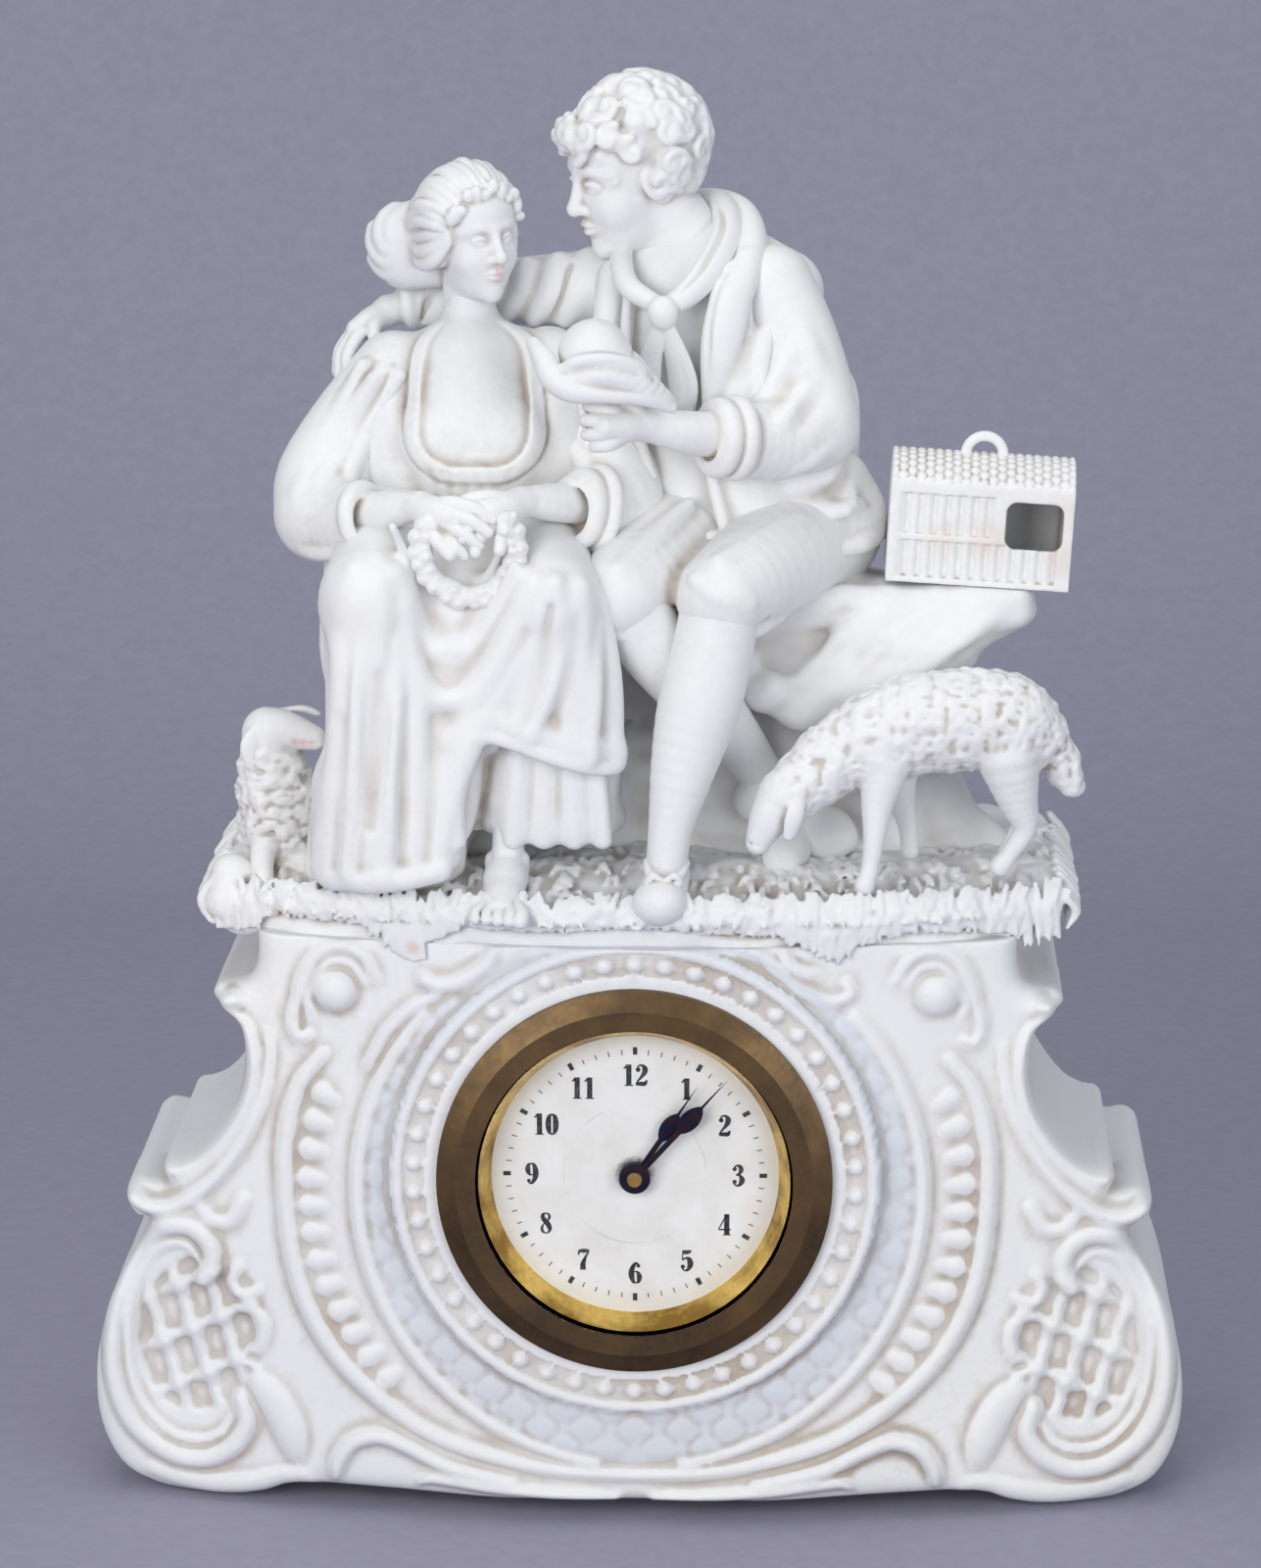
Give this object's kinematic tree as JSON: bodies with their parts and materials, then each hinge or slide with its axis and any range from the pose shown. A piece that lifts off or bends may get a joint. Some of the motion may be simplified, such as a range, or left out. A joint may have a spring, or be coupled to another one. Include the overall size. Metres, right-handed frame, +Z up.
{
  "type": "figural clock",
  "caption": "Mantel clock with a seated couple, sheep, lamb and bird cage in white bisque over a scrolled case with a round brass-rimmed dial.",
  "frame": {"origin": "on the table under the middle of the case", "axes": "+Z up, the dial faces -Y, +X to the viewer's right"},
  "size_m": [0.272, 0.112, 0.3554],
  "materials": {
    "bisque": "unglazed white bisque, matt, with grey-beige dust in the hollows",
    "dark_brass": "dark brown patina",
    "gilt_brass": "polished, lightly tarnished",
    "brass": "brushed",
    "steel": "ground",
    "blued_steel": "polished and blued",
    "dial_white": "matt white enamel paint with plain black numbers",
    "clear_glass": "clear, flat"
  },
  "bodies": {
    "root": {"case_body": "bisque", "case_back_wall": "bisque", "case_scrolls": "bisque", "grass_ledge": "bisque", "rock_seat": "bisque", "woman_skirt": "bisque", "woman_bodice": "bisque", "woman_head": "bisque", "woman_right_arm": "bisque", "woman_left_arm": "bisque", "woman_foot": "bisque", "flower_wreath": "bisque", "man_jacket": "bisque", "man_breeches": "bisque", "man_head": "bisque", "man_left_arm": "bisque", "man_right_arm": "bisque", "man_left_leg": "bisque", "man_right_leg": "bisque", "neckerchief": "bisque", "hat": "bisque", "bird_cage": "bisque", "cage_ring": "bisque", "grazing_sheep": "bisque", "sitting_lamb": "bisque", "bezel": "dark_brass", "glass": "clear_glass", "sight_ring": "gilt_brass", "dial": "dial_white", "movement_can": "brass", "back_cap": "brass", "front_plate": "brass", "back_plate": "brass", "plate_pillars": "steel", "plate_nuts": "steel", "bezel_straps": "brass", "back_ring": "dark_brass", "strap_screws": "steel"},
    "minute_works": {"centre_arbor": "steel", "cannon_pinion": "steel", "centre_wheel": "brass", "set_knob": "brass", "minute_hand": "blued_steel", "hand_collet": "gilt_brass"},
    "hour_works": {"hour_wheel": "brass", "hour_hand": "blued_steel"},
    "minute_wheel_works": {"minute_wheel": "brass"},
    "going_barrel": {"mainspring_barrel": "brass", "mainspring": "blued_steel"},
    "winding_works": {"barrel_arbor": "steel", "ratchet_wheel": "steel", "winding_key": "gilt_brass"},
    "click_pawl": {"click": "steel"},
    "third_works": {"third_wheel": "brass"},
    "fourth_works": {"fourth_wheel": "brass"},
    "escape_works": {"escape_wheel": "brass"},
    "lever_works": {"pallet_lever": "steel"},
    "balance_works": {"balance_wheel": "brass", "hairspring": "blued_steel"}
  },
  "joints": [
    {"name": "minute_spin", "type": "hinge", "parent": "root", "child": "minute_works", "pos_m": [0, -0.03, 0.089], "axis": [0, 1, 0], "continuous": true},
    {"name": "hour_spin", "type": "hinge", "parent": "root", "child": "hour_works", "pos_m": [0, -0.03, 0.089], "axis": [0, 1, 0], "continuous": true},
    {"name": "minute_wheel_spin", "type": "hinge", "parent": "root", "child": "minute_wheel_works", "pos_m": [-0.00287, -0.03, 0.08111], "axis": [0, 1, 0], "continuous": true},
    {"name": "barrel_spin", "type": "hinge", "parent": "root", "child": "going_barrel", "pos_m": [-0.01776, -0.03, 0.08254], "axis": [0, 1, 0], "continuous": true},
    {"name": "third_spin", "type": "hinge", "parent": "root", "child": "third_works", "pos_m": [0.00616, -0.03, 0.10591], "axis": [0, 1, 0], "continuous": true},
    {"name": "fourth_spin", "type": "hinge", "parent": "root", "child": "fourth_works", "pos_m": [0.02013, -0.03, 0.10083], "axis": [0, 1, 0], "continuous": true},
    {"name": "escape_spin", "type": "hinge", "parent": "root", "child": "escape_works", "pos_m": [0.01904, -0.03, 0.08828], "axis": [0, 1, 0], "continuous": true},
    {"name": "winding_turn", "type": "hinge", "parent": "root", "child": "winding_works", "pos_m": [-0.01776, -0.03, 0.08254], "axis": [0, 1, 0], "continuous": true},
    {"name": "click_lift", "type": "hinge", "parent": "root", "child": "click_pawl", "pos_m": [-0.02586, -0.012, 0.09219], "axis": [0, 1, 0], "range_deg": [0, 12], "stiffness_Nm_per_rad": 0.0005, "springref_deg": -5.73},
    {"name": "balance_swing", "type": "hinge", "parent": "root", "child": "balance_works", "pos_m": [0.01264, -0.03, 0.06968], "axis": [0, 1, 0], "range_deg": [-135, 135], "stiffness_Nm_per_rad": 0.0000095},
    {"name": "lever_rock", "type": "hinge", "parent": "root", "child": "lever_works", "pos_m": [0.02036, -0.03, 0.07887], "axis": [0, 1, 0], "range_deg": [-5, 5]}
  ],
  "couplings": [
    {"joint": "hour_spin", "follows": "minute_spin", "ratio": 0.083333},
    {"joint": "minute_wheel_spin", "follows": "minute_spin", "ratio": -0.33333},
    {"joint": "barrel_spin", "follows": "minute_spin", "ratio": -0.16667},
    {"joint": "third_spin", "follows": "minute_spin", "ratio": -8},
    {"joint": "fourth_spin", "follows": "minute_spin", "ratio": 60},
    {"joint": "escape_spin", "follows": "minute_spin", "ratio": -480},
    {"joint": "lever_rock", "follows": "balance_swing", "ratio": -0.037}
  ]
}
